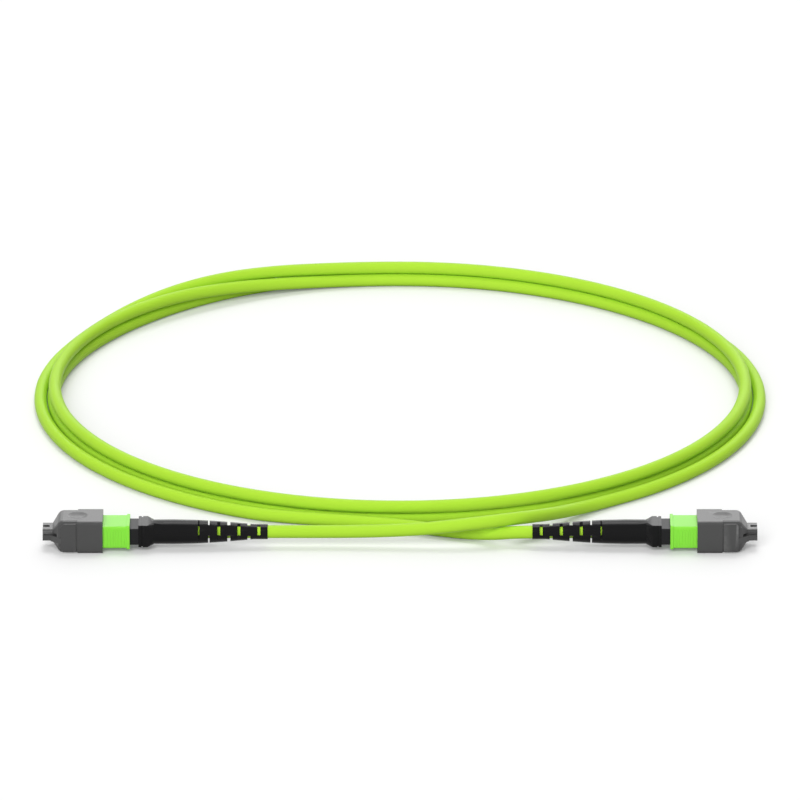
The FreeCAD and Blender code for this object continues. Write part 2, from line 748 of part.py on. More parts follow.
def tube_section(centre, toward):
    """The cable's section as a many-sided ring of points, square to its route."""
    turn = Rotation(X_AXIS, toward)
    corners = []
    for i in range(CABLE_SIDES):
        a = 2 * math.pi * (i + 0.5) / CABLE_SIDES
        spoke = Vector(0, math.cos(a), math.sin(a)) * (CABLE_D / 2)
        corners.append(centre + turn.multVec(spoke))
    return Part.makePolygon(corners + corners[:1])


def cable_tail(name, points):
    """A round tube of cable along one tail."""
    route, radii = tube_route(points)
    toward = Vector(*points[1]) - Vector(*points[0])
    section = tube_section(Vector(*points[0]), toward)
    shape = route.makePipeShell([section], True, False)
    expected = Part.Face(section).Area * route.Length
    print(f"{name}: radii {radii} mm, length {route.Length:.1f} mm,", end=" ")
    print(f"volume {shape.Volume / expected:.4f} of section times length")
    return shape


def oval_ring(inner_reach, outer_reach, z0, z1):
    """A ring of straight flats around the middle turn of the coil."""
    faces = []
    for reach in (outer_reach, -inner_reach):
        corners = []
        for i in range(COIL_FLATS):
            a = 2 * math.pi * i / COIL_FLATS
            x = (COIL_HALF_X + reach) * math.sin(a)
            y = COIL_CENTRE_Y - (COIL_HALF_Y + reach) * math.cos(a)
            corners.append(Vector(x, y, z0))
        faces.append(Part.Face(Part.makePolygon(corners + corners[:1])))
    return faces[0].cut(faces[1]).extrude(Vector(0, 0, z1 - z0))


def cord_coil():
    """The outer shape of the coiled turns: two strands side by side and one on the inner."""
    base = oval_ring(COIL_INNER_REACH, COIL_OUTER_REACH, 0, CABLE_D)
    top = oval_ring(COIL_UPPER_REACH, COIL_UPPER_REACH, CABLE_D, 2 * CABLE_D)
    return base.fuse(top)


PLUG_PIECES = {
    "dust_cap": dust_cap,
    "coupling": coupling,
    "coupling_springs": coupling_springs,
    "housing": housing,
    "ferrule": ferrule,
    "pin_keeper": pin_keeper,
    "ferrule_grommet": ferrule_grommet,
    "ferrule_spring": ferrule_spring,
    "fibre_ribbon": fibre_ribbon,
    "rear_body": rear_body,
    "crimp_sleeve": crimp_sleeve,
    "boot": boot,
}
PLUG_PLACES = {
    "left": Placement(Vector(-PLUG_GAP / 2, 0, AXIS_Z), Rotation(Z_AXIS, 180)),
    "right": Placement(Vector(PLUG_GAP / 2, 0, AXIS_Z), Rotation(Z_AXIS, 0)),
}
# The slant of the slots is the only thing that differs from one plug to the other
MIRRORED = ("left", "boot")


def tidy(shape):
    """One plain solid where the shape is one, with split faces joined again."""
    solids = shape.Solids
    return solids[0].removeSplitter() if len(solids) == 1 else shape


def main():
    """Writes one STEP file for each piece."""
    os.makedirs("parts", exist_ok=True)
    for name, make in PLUG_PIECES.items():
        piece = tidy(make())
        for side, place in PLUG_PLACES.items():
            placed = piece.mirror(ORIGIN, Y_AXIS) if (side, name) == MIRRORED else piece.copy()
            placed.Placement = place.multiply(placed.Placement)
            placed.exportStep(f"parts/{side}_{name}.step")
    cable = {
        "left_tail": cable_tail("left_tail", LEFT_TAIL),
        "right_tail": cable_tail("right_tail", RIGHT_TAIL),
        "cord_coil": tidy(cord_coil()),
    }
    for name, shape in cable.items():
        shape.exportStep(f"parts/{name}.step")


main()
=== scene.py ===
"""Dresses a coiled fibre patch cord with two multi-fibre plugs for rendering."""

import math

import bmesh
import bpy
from bpy.props import FloatProperty, FloatVectorProperty, IntProperty, PointerProperty
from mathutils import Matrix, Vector


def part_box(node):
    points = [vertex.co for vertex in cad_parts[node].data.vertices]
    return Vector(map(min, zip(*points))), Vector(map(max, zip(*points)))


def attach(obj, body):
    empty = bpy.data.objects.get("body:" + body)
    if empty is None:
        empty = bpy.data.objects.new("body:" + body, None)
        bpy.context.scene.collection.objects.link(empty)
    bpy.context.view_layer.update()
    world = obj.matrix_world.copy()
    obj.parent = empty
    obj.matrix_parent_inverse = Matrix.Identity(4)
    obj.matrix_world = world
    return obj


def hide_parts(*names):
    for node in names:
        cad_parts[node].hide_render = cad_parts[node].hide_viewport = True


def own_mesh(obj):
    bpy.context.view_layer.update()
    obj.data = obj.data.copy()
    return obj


bl_info = {
    "name": "Fibre patch cord",
    "version": (1, 0, 0),
    "blender": (4, 5, 0),
    "location": "View3D > Sidebar > Patch cord",
    "description": "Builds the cable, plugs and stage of a coiled fibre patch cord",
    "category": "Add Mesh",
}

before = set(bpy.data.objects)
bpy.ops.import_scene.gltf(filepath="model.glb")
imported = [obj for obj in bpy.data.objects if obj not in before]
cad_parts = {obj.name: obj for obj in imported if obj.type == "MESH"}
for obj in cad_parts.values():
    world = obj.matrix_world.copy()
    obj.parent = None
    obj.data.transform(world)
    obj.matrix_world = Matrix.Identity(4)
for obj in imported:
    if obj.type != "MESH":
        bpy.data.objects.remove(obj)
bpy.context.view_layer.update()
SIDES = ("left", "right")
MM = 0.001
TURN = 360.0

# How high the plugs' axis lies, halfway up the right boot
AXIS_Z = (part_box("right_boot")[0][2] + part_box("right_boot")[1][2]) / 2

# How far the parts of each plug travel on their springs
FERRULE_TRAVEL = 0.8 * MM
SLEEVE_TRAVEL = 2.0 * MM

# The cable's loose ends, in metres, from inside each boot to the coil
LEFT_TAIL = (
    (-0.0712, 0.0, 0.0052), (-0.031, 0.0, 0.0052), (-0.012, -0.0002, 0.0053),
    (0.006, -0.001, 0.0063), (0.021, -0.0009, 0.0079), (0.035, 0.002, 0.0087),
    (0.0468, 0.0126, 0.0064), (0.0554, 0.0256, 0.0034),
)
RIGHT_TAIL = (
    (0.0712, 0.0, 0.0052), (0.038, 0.0, 0.0052), (0.030, 0.003, 0.0033),
    (0.020, 0.0074, 0.0022), (0.009, 0.0114, 0.0022), (-0.002, 0.0152, 0.0022),
    (-0.014, 0.0183, 0.0022), (-0.026, 0.0205, 0.0022), (-0.038, 0.023, 0.0022),
)

# Where the coil starts and ends, and where in every turn the strands change seats, in
# degrees round from its front toward the right
COIL_STARTS = 33.0
COIL_ENDS = 3 * TURN - 23.5
TWIST_FROM = 184.0
TWIST_TO = 250.0

# How the three strands lie together, in cable diameters. The inner one lies this far inside
# the upper one, and less so at the coil's sides
LEAN = 0.30
SIDE_LEAN = 0.42
# The outer one lies this far outside the upper one at the front and at the sides, and this
# far outside the inner one at the back
OUT_FRONT = 1.32
OUT_SIDE = 1.14
OUT_BACK = 1.04
# It moves over between them within this many degrees, from the front and from where the
# back begins, and both ways round alike
OUT_CHANGE = 50.0
BACK_BEGINS = 100.0
# While they change seats, the strands spread and rise by these shares of a diameter
TWIST_SPREAD = 0.07
TWIST_LIFT = 0.37
# The two lower strands lie this far above the floor
FLOOR_GAP = 0.05 * MM

# The row of fibres on a ferrule's face
FIBRES = 12
FIBRE_PITCH = 0.25 * MM

# How round the mouldings' edges are, in units of the edge setting
CAP_EDGE = 1.8
SLEEVE_EDGE = 0.5
BOOT_EDGE = 0.8
FERRULE_EDGE = 0.3
# Before the rounding, points this close become one and edges this short go, in metres,
# and faces that turn by less than this many degrees are joined
SAME_POINT = 2e-6
NO_EDGE = 1e-6
FLAT_WITHIN = 0.6
# A proud edge gets a painted highlight that makes it this much brighter than the face beside it
EDGE_HIGHLIGHT_GAIN = 1.6

# Colours of the hidden pieces, as linear light
RIBBON_BLUE = (0.55, 0.62, 0.68)
GLASS = (0.75, 0.8, 0.85)
CRIMP_PLATING = (0.62, 0.58, 0.5)

# How far the floor reaches each way, how far off the lamps stand and how far the camera
# sees, in metres, and the width of its sensor in millimetres
FLOOR_REACH = 8.0
LAMP_REACH = 2.0
CAMERA_SEES_TO = 50.0
SENSOR_WIDTH = 36.0
# How much light the floor sends back, how much less of it goes up at the cord, and its glow
FLOOR_WHITE = 0.8
FLOOR_HELD_BACK = 0.3
FLOOR_GLOW = 0.11


# ---- Settings -------------------------------------------------------------

def colour(name, description, rgb):
    """A colour property, written as the eye sees it and kept as light adds it."""
    linear = [linear_light(c) for c in rgb]
    return FloatVectorProperty(
        name=name, description=description, subtype="COLOR", size=3,
        default=linear, min=0, max=1,
    )


def linear_light(c):
    """One screen colour channel, 0 to 255, as linear light."""
    c /= 255.0
    return c / 12.92 if c <= 0.04045 else ((c + 0.055) / 1.055) ** 2.4


class CableSettings(bpy.types.PropertyGroup):
    """Sizes and colour of the round cable and its coil."""

    diameter: FloatProperty(
        name="Diameter", description="Outside of the jacket",
        default=4.2 * MM, unit="LENGTH", min=0.001,
    )
    half_width: FloatProperty(
        name="Coil half width", description="Middle of the upper turn, along X",
        default=115.2 * MM, unit="LENGTH", min=0.03,
    )
    half_depth: FloatProperty(
        name="Coil half depth", description="Middle of the upper turn, along Y",
        default=123.1 * MM, unit="LENGTH", min=0.03,
    )
    centre_y: FloatProperty(
        name="Coil centre", description="How far the coil's middle lies behind the plugs",
        default=144.2 * MM, unit="LENGTH",
    )
    points_per_turn: IntProperty(
        name="Points per turn", description="Route points in one turn of the coil",
        default=40, min=12,
    )
    jacket: colour("Jacket", "Colour of the cable's jacket", (168, 215, 57))


class PlugSettings(bpy.types.PropertyGroup):
    """Edges and colours of the plugs' mouldings."""

    edge: FloatProperty(
        name="Edge softness", description="Rounding of the mouldings' edges",
        default=0.12 * MM, unit="LENGTH", min=0,
    )
    cap: colour("Dust cap", "Colour of the grey caps", (61, 61, 61))
    sleeve: colour("Sleeve", "Colour of the sliding sleeve and housing", (130, 216, 61))
    boot: colour("Boot", "Colour of the strain relief", (9, 9, 10))
    body: colour("Rear body", "Colour of the rear body", (30, 30, 31))
    ferrule: colour("Ferrule", "Colour of the ferrule", (30, 30, 34))
    metal: colour("Metal", "Colour of springs and crimped metal", (190, 190, 192))


class StageSettings(bpy.types.PropertyGroup):
    """Camera, floor and lamps."""

    elevation: FloatProperty(
        name="Camera height angle", description="Angle of the view above the floor",
        default=math.radians(19.0), subtype="ANGLE",
    )
    distance: FloatProperty(
        name="Camera distance", description="From the camera to what it looks at",
        default=4.0, unit="LENGTH", min=0.2,
    )
    aim_y: FloatProperty(
        name="Aim", description="The point on the floor that the camera looks at, along Y",
        default=145.5 * MM, unit="LENGTH",
    )
    lens: FloatProperty(
        name="Lens", description="Focal length in millimetres", default=538.6, min=20
    )
    key: FloatProperty(
        name="Key lamp", description="Power of the softbox by the camera", default=0.84, min=0
    )
    lamp: FloatProperty(
        name="Top lamp", description="Power of the overhead softbox", default=0.3, min=0
    )
    rim: FloatProperty(
        name="Back lamp", description="Power of the softbox behind the coil", default=0.27, min=0
    )
    sky: FloatProperty(
        name="Sky", description="Strength of the light all round", default=0.26, min=0
    )


# ---- Materials ------------------------------------------------------------

def new_tree(name, kind, inputs, outputs):
    """A node tree or group with named sockets, and its two end nodes."""
    tree = bpy.data.node_groups.new(name, kind)
    for label, socket_type in outputs:
        tree.interface.new_socket(label, in_out="OUTPUT", socket_type=socket_type)
    for label, socket_type, value in inputs:
        socket = tree.interface.new_socket(label, in_out="INPUT", socket_type=socket_type)
        if value is not None:
            socket.default_value = value
    return tree, tree.nodes.new("NodeGroupInput"), tree.nodes.new("NodeGroupOutput")


def maths(tree, operation, a, b=None):
    """A math node fed by sockets or plain numbers."""
    node = tree.nodes.new("ShaderNodeMath")
    node.operation = operation
    for socket, value in zip(node.inputs, (a, b)):
        if value is None:
            continue
        if isinstance(value, (int, float)):
            socket.default_value = value
        else:
            tree.links.new(value, socket)
    return node.outputs[0]


def noise(tree, vector, scale, detail=2.0):
    """A noise texture's value on the given coordinates."""
    node = tree.nodes.new("ShaderNodeTexNoise")
    node.inputs["Detail"].default_value = detail
    tree.links.new(vector, node.inputs["Vector"])
    if isinstance(scale, (int, float)):
        node.inputs["Scale"].default_value = scale
    else:
        tree.links.new(scale, node.inputs["Scale"])
    return node.outputs["Fac"]


def moulded_skin_group():
    """Fine spark-eroded grain of moulded plastic, with slow changes of tone and gloss."""
    group, start, end = new_tree(
        "Moulded skin", "ShaderNodeTree",
        (
            ("Colour", "NodeSocketColor", (0.5, 0.5, 0.5, 1.0)),
            ("Tone change", "NodeSocketFloat", 0.08),
            ("Grain size", "NodeSocketFloat", 4000.0),
            ("Roughness", "NodeSocketFloat", 0.4),
            ("Gloss change", "NodeSocketFloat", 0.12),
        ),
        (
            ("Colour", "NodeSocketColor"),
            ("Roughness", "NodeSocketFloat"),
            ("Height", "NodeSocketFloat"),
        ),
    )
    where = group.nodes.new("ShaderNodeTexCoord").outputs["Object"]
    cloud = noise(group, where, scale=120.0)
    grain = noise(group, where, scale=start.outputs["Grain size"], detail=3.0)
    tone = maths(group, "SUBTRACT", cloud, 0.5)
    tone_swing = maths(group, "MULTIPLY", tone, start.outputs["Tone change"])
    value = maths(group, "ADD", 1.0, tone_swing)
    shade = group.nodes.new("ShaderNodeHueSaturation")
    group.links.new(start.outputs["Colour"], shade.inputs["Color"])
    group.links.new(value, shade.inputs["Value"])
    gloss = maths(group, "SUBTRACT", grain, 0.5)
    gloss_swing = maths(group, "MULTIPLY", gloss, start.outputs["Gloss change"])
    rough = maths(group, "ADD", start.outputs["Roughness"], gloss_swing)
    group.links.new(shade.outputs["Color"], end.inputs["Colour"])
    group.links.new(rough, end.inputs["Roughness"])
    group.links.new(grain, end.inputs["Height"])
    return group


def painted_edge_highlight_group():
    """A mask of the proud edges of a moulding, broken up by noise, where a painted highlight goes.
    """
    group, start, end = new_tree(
        "Painted edge highlight", "ShaderNodeTree",
        (
            ("Breakup", "NodeSocketFloat", 900.0),
            ("Proud from", "NodeSocketFloat", 0.58),
            ("Gain", "NodeSocketFloat", 12.0),
        ),
        (("Mask", "NodeSocketFloat"),),
    )
    where = group.nodes.new("ShaderNodeTexCoord").outputs["Object"]
    geometry = group.nodes.new("ShaderNodeNewGeometry")
    # Proud edges have high pointiness, and there the colour gets a painted highlight
    proud = maths(group, "SUBTRACT", geometry.outputs["Pointiness"], start.outputs["Proud from"])
    patches = noise(group, where, scale=start.outputs["Breakup"])
    broken = maths(group, "MULTIPLY", patches, start.outputs["Gain"])
    mask = maths(group, "MULTIPLY", proud, broken)
    clamp = group.nodes.new("ShaderNodeClamp")
    group.links.new(mask, clamp.inputs["Value"])
    group.links.new(clamp.outputs["Result"], end.inputs["Mask"])
    return group


def material(name):
    """A new node material and its Principled shader."""
    mat = bpy.data.materials.new(name)
    mat.use_nodes = True
    return mat, mat.node_tree, mat.node_tree.nodes["Principled BSDF"]


def bump(tree, height, strength, distance):
    """A bump node's normal from a height."""
    node = tree.nodes.new("ShaderNodeBump")
    node.inputs["Strength"].default_value = strength
    node.inputs["Distance"].default_value = distance
    tree.links.new(height, node.inputs["Height"])
    return node.outputs["Normal"]


def toned(tree, shader, rgb, field, low, swing):
    """Colours a shader, its brightness low where the field is 0 and higher by swing at 1."""
    shade = tree.nodes.new("ShaderNodeHueSaturation")
    shade.inputs["Color"].default_value = (*rgb, 1.0)
    value = maths(tree, "ADD", low, maths(tree, "MULTIPLY", field, swing))
    tree.links.new(value, shade.inputs["Value"])
    tree.links.new(shade.outputs["Color"], shader.inputs["Base Color"])


def roughened(tree, shader, field, low, swing):
    """Roughens a shader, by low where the field is 0 and by swing more at 1."""
    rough = maths(tree, "ADD", low, maths(tree, "MULTIPLY", field, swing))
    tree.links.new(rough, shader.inputs["Roughness"])


def moulded(
    name, rgb, roughness, grain=4000.0, relief=0.006 * MM, tone=0.08, specular=0.5, edge_highlight=0.0
):
    """Moulded plastic: grain, slow tone change and a painted highlight on the proud edges."""
    mat, tree, shader = material(name)
    skin = tree.nodes.new("ShaderNodeGroup")
    skin.node_tree = bpy.data.node_groups["Moulded skin"]
    skin.inputs["Colour"].default_value = (*rgb, 1.0)
    skin.inputs["Tone change"].default_value = tone
    skin.inputs["Grain size"].default_value = grain
    skin.inputs["Roughness"].default_value = roughness
    base = skin.outputs["Colour"]
    # Proud edges are painted lighter: a painted highlight standing in for the light on their
    # rounding
    if edge_highlight:
        edge_highlight_node = tree.nodes.new("ShaderNodeGroup")
        edge_highlight_node.node_tree = bpy.data.node_groups["Painted edge highlight"]
        mix = tree.nodes.new("ShaderNodeMix")
        mix.data_type = "RGBA"
        highlighted = [min(1.0, c * EDGE_HIGHLIGHT_GAIN + edge_highlight) for c in rgb]
        mix.inputs["B"].default_value = (*highlighted, 1.0)
        tree.links.new(edge_highlight_node.outputs["Mask"], mix.inputs["Factor"])
        tree.links.new(base, mix.inputs["A"])
        base = mix.outputs["Result"]
    tree.links.new(base, shader.inputs["Base Color"])
    tree.links.new(skin.outputs["Roughness"], shader.inputs["Roughness"])
    normal = bump(tree, skin.outputs["Height"], strength=0.35, distance=relief)
    tree.links.new(normal, shader.inputs["Normal"])
    shader.inputs["Specular IOR Level"].default_value = specular
    return mat


def jacket_material(rgb):
    """Extruded cable jacket: soft sheen, faint drawing lines and slow tone change."""
    mat, tree, shader = material("Lime cable jacket")
    where = tree.nodes.new("ShaderNodeTexCoord").outputs["Object"]
    cloud = noise(tree, where, scale=60.0)
    fine = noise(tree, where, scale=2600.0, detail=3.0)
    toned(tree, shader, rgb, cloud, low=0.97, swing=0.06)
    roughened(tree, shader, fine, low=0.38, swing=0.10)
    normal = bump(tree, fine, strength=0.25, distance=0.008 * MM)
    tree.links.new(normal, shader.inputs["Normal"])
    shader.inputs["Specular IOR Level"].default_value = 0.06
    return mat


def metal_material(name, rgb, roughness):
    """Drawn or rolled bright metal with fine lines."""
    mat, tree, shader = material(name)
    where = tree.nodes.new("ShaderNodeTexCoord").outputs["Object"]
    fine = noise(tree, where, scale=3000.0, detail=3.0)
    toned(tree, shader, rgb, fine, low=0.94, swing=0.12)
    roughened(tree, shader, fine, low=roughness, swing=0.15)
    shader.inputs["Metallic"].default_value = 1.0
    return mat


MATERIALS = {}


def make_materials(scene):
    """Every finish on the cord, by name."""
    cable, plug = scene.patch_cable, scene.patch_plug
    moulded_skin_group()
    painted_edge_highlight_group()
    MATERIALS.update(
        jacket=jacket_material(cable.jacket),
        # The grey cap and the black boot carry a painted highlight on their proud edges
        cap=moulded(
            "Grey cap moulding", plug.cap, roughness=0.34, tone=0.06, specular=0.45, edge_highlight=0.05
        ),
        sleeve=moulded(
            "Green sleeve moulding", plug.sleeve, roughness=0.38, tone=0.04, specular=0.28
        ),
        housing=moulded("Green housing moulding", plug.sleeve, roughness=0.3, tone=0.04),
        boot=moulded(
            "Black boot moulding", plug.boot,
            roughness=0.22, grain=5200.0, specular=0.14, edge_highlight=0.01,
        ),
        body=moulded("Black rear body moulding", plug.body, roughness=0.36, specular=0.11),
        ferrule=moulded(
            "Filled black ferrule", plug.ferrule,
            roughness=0.22, grain=7000.0, relief=0.003 * MM,
        ),
        grommet=moulded("Soft black grommet", plug.boot, roughness=0.6, grain=3000.0),
        ribbon=moulded("Coated fibre ribbon", RIBBON_BLUE, roughness=0.25, grain=2000.0),
        fibre=moulded("Polished fibre end", GLASS, roughness=0.08, relief=0.001 * MM),
        spring=metal_material("Bright spring wire", plug.metal, roughness=0.2),
        keeper=metal_material("Rolled keeper plate", plug.metal, roughness=0.3),
        crimp=metal_material("Plated crimp metal", CRIMP_PLATING, roughness=0.28),
    )


# ---- Making and fitting pieces --------------------------------------------

def add_object(name, data, mat=None):
    """A new object at the origin, in the scene."""
    obj = bpy.data.objects.new(name, data)
    bpy.context.scene.collection.objects.link(obj)
    if mat is not None:
        data.materials.clear()
        data.materials.append(mat)
    return obj


def finished_mesh(obj):
    """Turns an object and its modifiers into one plain mesh, without the modifiers."""
    bpy.context.view_layer.update()
    graph = bpy.context.evaluated_depsgraph_get()
    mesh = bpy.data.meshes.new_from_object(obj.evaluated_get(graph))
    mesh.name = obj.name
    name = obj.name
    bpy.data.objects.remove(obj)
    done = bpy.data.objects.new(name, mesh)
    bpy.context.scene.collection.objects.link(done)
    return done


def eased_copy(node, name, mat, edge, angle=24.0, segments=2, join_flats=True):
    """A copy of a moulded solid with its edges rounded, and its flats shaded flat beside them.

    Edges that turn by more than the angle, in degrees, are rounded."""
    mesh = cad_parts[node].data.copy()
    bm = bmesh.new()
    bm.from_mesh(mesh)
    bmesh.ops.remove_doubles(bm, verts=bm.verts, dist=SAME_POINT)
    bmesh.ops.dissolve_degenerate(bm, edges=bm.edges, dist=NO_EDGE)
    if join_flats:
        bmesh.ops.dissolve_limit(
            bm, angle_limit=math.radians(FLAT_WITHIN), use_dissolve_boundaries=False,
            verts=bm.verts, edges=bm.edges,
        )
    for face in bm.faces:
        face.smooth = True
    bm.to_mesh(mesh)
    bm.free()
    obj = add_object(name, mesh, mat)
    bevel = obj.modifiers.new("Eased edges", "BEVEL")
    bevel.width = edge
    bevel.segments = segments
    bevel.limit_method = "ANGLE"
    bevel.angle_limit = math.radians(angle)
    bevel.use_clamp_overlap = True
    bevel.miter_outer = "MITER_ARC"
    flats = obj.modifiers.new("Flat flats", "WEIGHTED_NORMAL")
    flats.mode = "FACE_AREA"
    flats.weight = 50
    return finished_mesh(obj)


def fit(obj, body, slot, *nodes):
    """Puts a piece on its body, in place of the solids it stands for."""
    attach(obj, body)
    if nodes:
        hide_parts(*nodes)


# ---- Cable ----------------------------------------------------------------

def oval_point(cable, degrees, outward, height):
    """A route point round the coil, a little outside it because the curve cuts corners."""
    a = math.radians(degrees)
    swell = 1.0 / math.cos(math.pi / cable.points_per_turn)
    x = (cable.half_width + outward) * math.sin(a) * swell
    y = cable.centre_y - (cable.half_depth + outward) * math.cos(a) * swell
    return (x, y, height)


def blended(a, b, share):
    """A soft step from a to b."""
    share = max(0.0, min(1.0, share))
    return a + (b - a) * share * share * (3 - 2 * share)


def strand_seat(cable, seat, degrees):
    """Where a strand lies in the bundle: its reach outward and its height."""
    d = cable.diameter
    low = d / 2 + FLOOR_GAP
    lean = LEAN - SIDE_LEAN * math.sin(math.radians(degrees)) ** 6
    from_front = TURN / 2 - abs(degrees % TURN - TURN / 2)
    if from_front < BACK_BEGINS:
        beside = blended(OUT_FRONT, OUT_SIDE, from_front / OUT_CHANGE)
    else:
        beside = blended(OUT_SIDE, OUT_BACK - lean, (from_front - BACK_BEGINS) / OUT_CHANGE)
    return {
        "outer": (beside * d, low),
        "inner": (-lean * d, low),
        "upper": (0.0, low + math.sqrt(1.0 - lean * lean) * d),
    }[seat]


def twist_point(cable, before, after, share, degrees):
    """A strand's place while the three strands change seats, turning about their middle."""
    d = cable.diameter
    seats = [strand_seat(cable, s, degrees) for s in ("outer", "inner", "upper")]
    middle = [sum(s[i] for s in seats) / 3 for i in (0, 1)]
    polar = []
    for name in (before, after):
        o, z = strand_seat(cable, name, degrees)
        o, z = o - middle[0], z - middle[1]
        polar.append((math.hypot(o, z), math.degrees(math.atan2(z, o))))
    (radius, angle), (last_radius, last_angle) = polar
    turn = (last_angle - angle) % TURN - TURN
    soft = blended(0.0, 1.0, share)
    swell = math.sin(math.pi * soft)
    radius = radius + (last_radius - radius) * soft + TWIST_SPREAD * d * swell
    angle = math.radians(angle + turn * soft)
    lift = TWIST_LIFT * d * swell
    return middle[0] + radius * math.cos(angle), middle[1] + lift + radius * math.sin(angle)


def coil_points(cable):
    """Route points of the three turns, which change seats once a turn at the back left."""
    order = ("outer", "inner", "upper", "outer")
    span = COIL_ENDS - COIL_STARTS
    count = round(span / (TURN / cable.points_per_turn))
    points = []
    for i in range(count + 1):
        degrees = COIL_STARTS + span * i / count
        lap, here = divmod(degrees, TURN)
        before, after = order[int(lap):int(lap) + 2]
        if here < TWIST_FROM:
            out, height = strand_seat(cable, before, here)
        elif here < TWIST_TO:
            share = (here - TWIST_FROM) / (TWIST_TO - TWIST_FROM)
            out, height = twist_point(cable, before, after, share, here)
        else:
            out, height = strand_seat(cable, after, here)
        points.append(oval_point(cable, degrees, out, height))
    return points


def cable_route(cable):
    """The whole cable from one boot round the coil to the other."""
    return [*LEFT_TAIL, *coil_points(cable), *reversed(RIGHT_TAIL)]


def route_length(curve):
    """The length of a curve object's line."""
    line = curve.copy()
    line.data = curve.data.copy()
    line.data.bevel_depth = 0.0
    bpy.context.scene.collection.objects.link(line)
    bpy.context.view_layer.update()
    graph = bpy.context.evaluated_depsgraph_get()
    mesh = bpy.data.meshes.new_from_object(line.evaluated_get(graph))
    places = [vertex.co for vertex in mesh.vertices]
    length = sum((places[a] - places[b]).length for a, b in (e.vertices for e in mesh.edges))
    bpy.data.meshes.remove(mesh)
    bpy.data.objects.remove(line)
    return length


class PATCHCORD_OT_cable(bpy.types.Operator):
    """Lays the cable from one plug to the other, with three turns of coil"""

    bl_idname = "patchcord.cable"
    bl_label = "Cable"

    def execute(self, context):
        cable = context.scene.patch_cable
        data = bpy.data.curves.new("cable", "CURVE")
        data.dimensions = "3D"
        spline = data.splines.new("NURBS")
        points = cable_route(cable)
        spline.points.add(len(points) - 1)
        for point, place in zip(spline.points, points):
            point.co = (*place, 1.0)
        spline.order_u = 3
        spline.use_endpoint_u = True
        spline.resolution_u = 8
        data.resolution_u = 8
        data.bevel_depth = cable.diameter / 2
        data.bevel_resolution = 6
        data.use_fill_caps = True
        data.fill_mode = "FULL"
        obj = add_object("cable", data, MATERIALS["jacket"])
        length = route_length(obj)
        print(f"cable length {length:.3f} m")
        fit(obj, "cord_assembly", "cable_jacket", "left_tail", "right_tail", "cord_coil")
        return {"FINISHED"}


# ---- Plugs ----------------------------------------------------------------

class PATCHCORD_OT_dust_caps(bpy.types.Operator):
    """Makes the pull-off dust caps with eased moulding edges"""

    bl_idname = "patchcord.dust_caps"
    bl_label = "Dust caps"

    def execute(self, context):
        edge = context.scene.patch_plug.edge
        for side in SIDES:
            cap = eased_copy(
                f"{side}_dust_cap", f"{side}_cap_moulding", MATERIALS["cap"], edge * CAP_EDGE,
                angle=13.0, segments=3,
            )
            fit(cap, f"{side}_cap", "cap_grey", f"{side}_dust_cap")
        return {"FINISHED"}


class PATCHCORD_OT_sleeves(bpy.types.Operator):
    """Makes the green pull sleeves with their grip ribs"""

    bl_idname = "patchcord.sleeves"
    bl_label = "Pull sleeves"

    def execute(self, context):
        edge = context.scene.patch_plug.edge
        for side in SIDES:
            sleeve = eased_copy(
                f"{side}_coupling", f"{side}_pull_sleeve", MATERIALS["sleeve"],
                edge * SLEEVE_EDGE, join_flats=False,
            )
            fit(sleeve, f"{side}_sleeve", "sleeve_green", f"{side}_coupling")
        return {"FINISHED"}


class PATCHCORD_OT_boots(bpy.types.Operator):
    """Makes the slotted strain reliefs and the rear bodies in front of them"""

    bl_idname = "patchcord.boots"
    bl_label = "Boots"

    def execute(self, context):
        edge = context.scene.patch_plug.edge
        for side in SIDES:
            boot = eased_copy(
                f"{side}_boot", f"{side}_strain_relief", MATERIALS["boot"], edge * BOOT_EDGE
            )
            fit(boot, "cord_assembly", "boot_black", f"{side}_boot")
            body = eased_copy(
                f"{side}_rear_body", f"{side}_spring_push", MATERIALS["body"], edge
            )
            fit(body, "cord_assembly", "body_black", f"{side}_rear_body")
        return {"FINISHED"}


class PATCHCORD_OT_cores(bpy.types.Operator):
    """Makes the keyed housings and the floating ferrules inside them"""

    bl_idname = "patchcord.cores"
    bl_label = "Housings and ferrules"

    def execute(self, context):
        edge = context.scene.patch_plug.edge
        for side in SIDES:
            shell = eased_copy(
                f"{side}_housing", f"{side}_keyed_housing", MATERIALS["housing"], edge
            )
            fit(shell, "cord_assembly", "housing_green", f"{side}_housing")
            block = eased_copy(
                f"{side}_ferrule", f"{side}_ferrule_block", MATERIALS["ferrule"],
                edge * FERRULE_EDGE,
            )
            fit(block, f"{side}_ferrule_set", "ferrule_black", f"{side}_ferrule")
        for node, finish in (
            ("pin_keeper", "keeper"), ("ferrule_grommet", "grommet"), ("fibre_ribbon", "ribbon"),
            ("crimp_sleeve", "crimp"),
        ):
            for side in SIDES:
                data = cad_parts[f"{side}_{node}"].data
                data.materials.clear()
                data.materials.append(MATERIALS[finish])
        return {"FINISHED"}


def painted_row(tree, start, end, shape, spacing, turned=(0.0, 0.0, 0.0)):
    """Ends a tree with copies of its shape in a row along Y, made real and given a finish."""
    nodes, links = tree.nodes, tree.links
    row = nodes.new("GeometryNodeMeshLine")
    stride = nodes.new("ShaderNodeCombineXYZ")
    links.new(start.outputs[spacing], stride.inputs["Y"])
    links.new(start.outputs["Count"], row.inputs["Count"])
    links.new(start.outputs["Start"], row.inputs["Start Location"])
    links.new(stride.outputs[0], row.inputs["Offset"])
    copies = nodes.new("GeometryNodeInstanceOnPoints")
    copies.inputs["Rotation"].default_value = turned
    links.new(row.outputs[0], copies.inputs["Points"])
    links.new(shape, copies.inputs["Instance"])
    real = nodes.new("GeometryNodeRealizeInstances")
    paint = nodes.new("GeometryNodeSetMaterial")
    links.new(copies.outputs[0], real.inputs[0])
    links.new(real.outputs[0], paint.inputs["Geometry"])
    links.new(start.outputs["Finish"], paint.inputs["Material"])
    links.new(paint.outputs[0], end.inputs[0])


